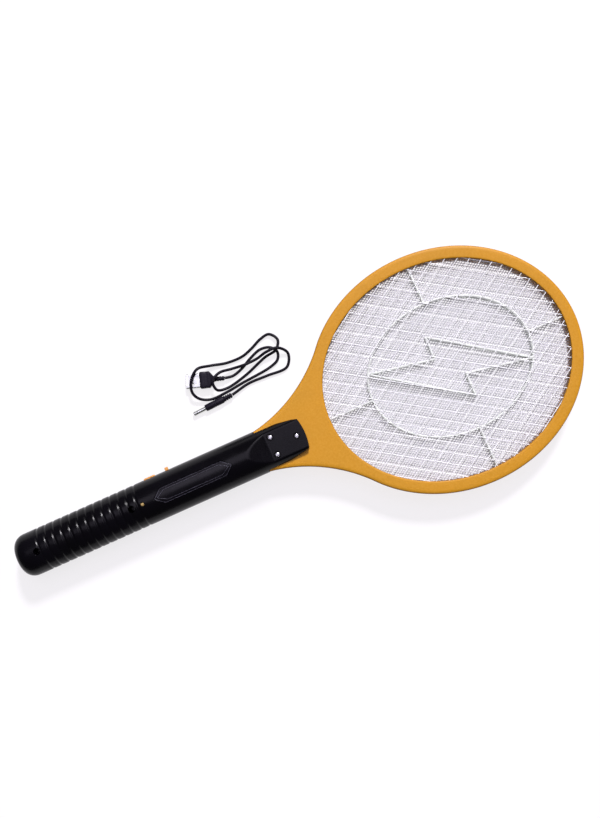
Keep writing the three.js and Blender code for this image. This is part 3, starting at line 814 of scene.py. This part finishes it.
def makeControls():
    x, half = button["x"], button["length"] / 2
    cap = Solid().slab(roundBox(x - half, x + half, -button["half"], button["half"], 1.1), [],
                       roundedSides(13.5, button["top"] - 0.3, 0.05, 0.9, 5), sideways)
    wide, tall, thin = half + button["foot"], button["half"] + button["foot"], button["stem"]
    cap.slab(roundBox(x - wide, x + wide, -tall, tall, 1.2), [],
             roundedSides(13, 14, 0.1, 0.1, 2), sideways)
    stem = roundBox(x - thin, x + thin, -thin, thin, 1.35)
    cap.tube([[(px, y, pz) for px, pz in stem] for y in (10.9, 13.2)])
    for i in range(button["ridges"]):
        rx = x + (i - (button["ridges"] - 1) / 2) * button["ridgeStep"]
        cap.slab(roundBox(rx - 0.35, rx + 0.35, -1.9, 1.9, 0.3), [],
                 roundedSides(button["top"] - 0.8, button["top"], 0.02, 0.25, 3), sideways)
    settle(raw("pushButton", cap), "controlOrange", ["push_button"], "push_button")
    x, half = knob["x"], knob["half"]
    nub = Solid().slab(roundBox(x - half, x + half, -knob["height"], knob["height"], 0.4), [],
                       roundedSides(13.6, knob["top"], 0.05, 0.45, 4), sideways)
    wide, tall = knob["footLength"], knob["footHeight"]
    nub.slab(roundBox(x - wide, x + wide, -tall, tall, 0.4), [],
             roundedSides(13.1, 14.1, 0.1, 0.1, 2), sideways)
    settle(raw("slideKnob", nub), "controlOrange", ["slide_knob"], "slide_knob")


def makeLamp():
    f = Finish("lampClear")
    cloud = f.mask(f.noise(0.8, 3), 0.3, 0.8)
    color = f.blend(cloud, lamp["color"], lamp["second"])
    finishes["lampClear"] = f.surface(Base_Color=color, Roughness=0.06 + cloud * 0.05,
                                      Transmission_Weight=0.55, IOR=1.5)
    x, radius, shoulder = lamp["x"], lamp["radius"], lamp["shoulder"]
    dome = [(lamp["foot"], radius - 0.3), (lamp["foot"] + 0.05, radius), (shoulder, radius)]
    for a in (0.3, 0.6, 0.9, 1.2, 1.45):
        dome.append((shoulder + lamp["rise"] * math.sin(a), radius * math.cos(a)))
    lens = Solid().tube([ringZ(x, 0, z, r, 40) for z, r in dome])
    for side in (-1, 1):  # the two wires down to the board
        lens.tube([ringZ(x + side * 0.8, 0, z, 0.3, 12) for z in (-3.1, 10.3)])
    settle(raw("indicatorLamp", lens), "lampClear", ["indicator_lamp"])


def makeSocket():
    rings = [(14.4, 0.1), (14.4, 4), (6.3, 4), (6.3, 2.9), (1.2, 2.9), (1, 2.7), (1, 2.15), (1.2, 1.95),
             (10, 1.95), (10, 0.1)]
    snout = Solid().tube([ringX(x, 0, 0, r, 48) for x, r in rings])
    settle(raw("chargingSocket", snout), "switchBlack", ["charging_socket"])
    pin = [(10.2, 0.6), (2.5, 0.6), (2.1, 0.45), (2, 0.2)]
    settle(raw("socketPin", Solid().tube([ringX(x, 0, 0, r, 24) for x, r in pin])), "plugMetal",
           [])


makeControls()
makeLamp()
makeSocket()
print("controls made")

head = {"a": 112.5, "b": 98, "holeA": 102.6, "holeB": 87.5, "half": 7.5, "ledge": 2.3, "seam": 0.15,
        "sides": 220}


# One side of the throat, flaring from the handle to the oval
def throatCurve(count):
    p = [Vector(q) for q in ((213.7, 17.4), (240, 21.5), (268, 36), (288, 59.3))]
    points = []
    for i in range(count + 1):
        t = i / count
        points.append(p[0] * (1 - t) ** 3 + 3 * p[1] * t * (1 - t) ** 2
                      + 3 * p[2] * t * t * (1 - t) + p[3] * t ** 3)
    return [(q.x, q.y) for q in points]


# Tongue, flaring throat and oval, counter-clockwise
def frameOutline():
    side = throatCurve(30)
    begin = math.atan2(side[-1][1] / head["b"], (side[-1][0] - headX) / head["a"])
    count = 180
    arc = [begin - 2 * begin * i / count for i in range(1, count)]
    oval = [(headX + head["a"] * math.cos(t), head["b"] * math.sin(t)) for t in arc]
    upper = [(206, 12), (213.7, 12)] + side
    lower = [(x, -y) for x, y in reversed(upper)]
    return list(reversed(upper + oval + lower))


# Half of the frame: a wall round the outside, one round the opening with grooves for the grids,
# and a flat face at each end of them
def frameSolid(side):
    half, ledge, seam = head["half"], head["ledge"], head["seam"]
    outer = [(0.25, seam), (0, 0.45), (0, 5.6), (0.12, 6.2), (0.4, 6.7), (0.9, 7.1), (1.7, 7.36),
             (2.8, 7.48), (3.8, half)]
    inner = [(ledge, seam), (ledge, 0.45), (0, 0.45), (0, 5.55), (ledge, 5.55), (ledge, 6.5),
             (0, 6.5), (0, 6.85), (0.1, 7.05), (0.35, 7.28), (0.8, 7.42), (1.5, 7.48), (2.2, half)]
    outline = frameOutline()
    walls = [[(offsetLoop(outline, inset), z) for inset, z in outer],
             [(ovalLoop(head["holeA"] + grow, head["holeB"] + grow, head["sides"]), z)
              for grow, z in inner]]
    solid = Solid()
    ends = ([], [])
    for wall in walls:
        start = len(solid.points)
        solid.tube([[(x, y, z * side) for x, y in loop] for loop, z in wall], False)
        ends[0].append((wall[0][0], start))
        ends[1].append((wall[-1][0], start + (len(wall) - 1) * len(wall[0][0])))
    for loops in ends:
        solid.lid(loops)
    return solid


def makeFrame():
    for name, side in (("Back", 1), ("Front", -1)):
        settle(raw("headFrame" + name, frameSolid(side)), "frameOrange",
               ["head_frame_" + name.lower()], sharp=30)
    print("head frame made")


makeFrame()

nets = {"angle": 33.0, "reach": 1.7, "pitch": 8.3, "wire": 0.68, "height": 5.95, "bow": 0.25,
        "finePitch": 1.9, "finePhase": 0.3, "fineWire": 0.62, "fineHeight": 0.15, "fineBow": 0.12}


# Straight wires across the oval at one angle, each a little bowed
def addWires(solid, angle, pitch, phase, wire, height, sides, bow, rng, parts=6):
    a, b = head["holeA"] + nets["reach"], head["holeB"] + nets["reach"]
    c, s = math.cos(math.radians(angle)), math.sin(math.radians(angle))
    most = int(120 / pitch)
    for k in range(-most, most + 1):
        d = (k + phase) * pitch
        q = (c / a) ** 2 + (s / b) ** 2
        h = d * c * s * (1 / b ** 2 - 1 / a ** 2)
        left = h * h - q * (d * d * (s * s / a ** 2 + c * c / b ** 2) - 1)
        if left <= 0.02 * q:
            continue
        ends = [(-h - math.sqrt(left)) / q, (-h + math.sqrt(left)) / q]
        lean, lift = rng.uniform(-bow, bow), rng.uniform(-bow, bow) * 0.3
        line = []
        for i in range(parts + 1):
            t = ends[0] + (ends[1] - ends[0]) * i / parts
            out = math.sin(math.pi * i / parts)
            line.append(Vector((headX - s * (d + lean * out) + c * t, c * (d + lean * out) + s * t,
                                height + lift * out)))
        solid.tube(tubeAlong(line, wire / 2, sides))


def makeNets():
    rng = random.Random(5)
    for name, side in (("Back", 1), ("Front", -1)):
        solid = Solid()
        z, r = nets["height"] * side, nets["wire"] / 2
        for turn in (1, -1):
            addWires(solid, turn * nets["angle"], nets["pitch"], 0.0, nets["wire"],
                     z + turn * r * 0.9 * side, 8, nets["bow"], rng)
        settle(raw("outerNet" + name, solid), "outerWire", ["outer_grid_" + name.lower()],
               sharp=60)
    fine = Solid()
    for turn in (1, -1):
        addWires(fine, turn * nets["angle"], nets["finePitch"], nets["finePhase"], nets["fineWire"],
                 turn * nets["fineHeight"], 6, nets["fineBow"], rng, 8)
    settle(raw("centreNet", fine), "centreWire", ["centre_grid"], sharp=70)
    print("nets made")


makeNets()

spacer = {"low": 0.6, "high": 5.4, "rib": 1.4, "ringA": 69.5, "ringB": 55.5, "ringX": headX + 4,
          "ringY": 1.2, "armX": 1, "soft": 0.25}
zigzag = [(-63.6, 20.8), (-9.3, 10.2), (-9, 29.8), (63.6, -20.8), (9.3, -10.2), (9, -29.8)]


# Straight ribs go from point to point, measured from the oval ring's middle
def ribLoop(x0, y0, x1, y1):
    along = Vector((x1 - x0, y1 - y0)).normalized()
    side = Vector((-along.y, along.x)) * spacer["rib"] / 2
    start, end = Vector((x0, y0)), Vector((x1, y1))
    corners = [start - side, end - side, end + side, start + side]
    return [(spacer["ringX"] + p.x, spacer["ringY"] + p.y) for p in corners]


def makeSpacer(name, side):
    low, high = sorted((spacer["low"] * side, spacer["high"] * side))
    profile = roundedSides(low, high, spacer["soft"], spacer["soft"], 3)
    a, b, w = spacer["ringA"], spacer["ringB"], spacer["rib"]
    x, y, armX = spacer["ringX"], spacer["ringY"], spacer["armX"]
    oa, ob, aside = head["holeA"] + 1.8, head["holeB"] + 1.6, headX - x
    inner = ovalLoop(a - w, b - w, 160, x, y)
    ring = raw("gridSpacer" + name, Solid().slab(ovalLoop(a, b, 160, x, y), [inner], profile))
    lines = [(a - 0.8, 0, oa + aside, 0), (aside - oa, 0, -a + 0.8, 0),
             (armX, b - 0.8, armX, ob - y), (armX, -ob - y, armX, -b + 0.8)]
    lines += [(*one, *other) for one, other in zip(zigzag, zigzag[1:] + zigzag[:1])]
    ribs = [raw("rib", Solid().slab(ribLoop(*line), [], profile)) for line in lines]
    carve(ring, ribs, "UNION")
    settle(ring, "spacerWhite", ["grid_spacer_" + name.lower()])


makeSpacer("Back", 1)
makeSpacer("Front", -1)
print("spacers made")

# Parts inside the handle and the plug that are shown as they came
keptParts = {
    "push_switch": "switchBlack", "slide_switch": "switchBlack", "circuit_board": "boardGreen",
    "transformer": "coilAmber", "storage_capacitor": "wireRed", "discharge_resistor": "coilAmber",
    "battery_cell": "cellGreen", "battery_tab_rear": "springSteel", "battery_tab_front": "springSteel",
    "battery_lead_rear": "switchBlack", "battery_lead_front": "wireRed", "button_spring": "springSteel",
    "centre_grid_lead": "wireRed", "outer_grid_lead": "switchBlack", "usb_contact_block": "contactWhite",
}
for node, finish in keptParts.items():
    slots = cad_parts[node].data.materials
    slots.clear()
    slots.append(finishes[finish])
print("kept parts painted:", len(keptParts))
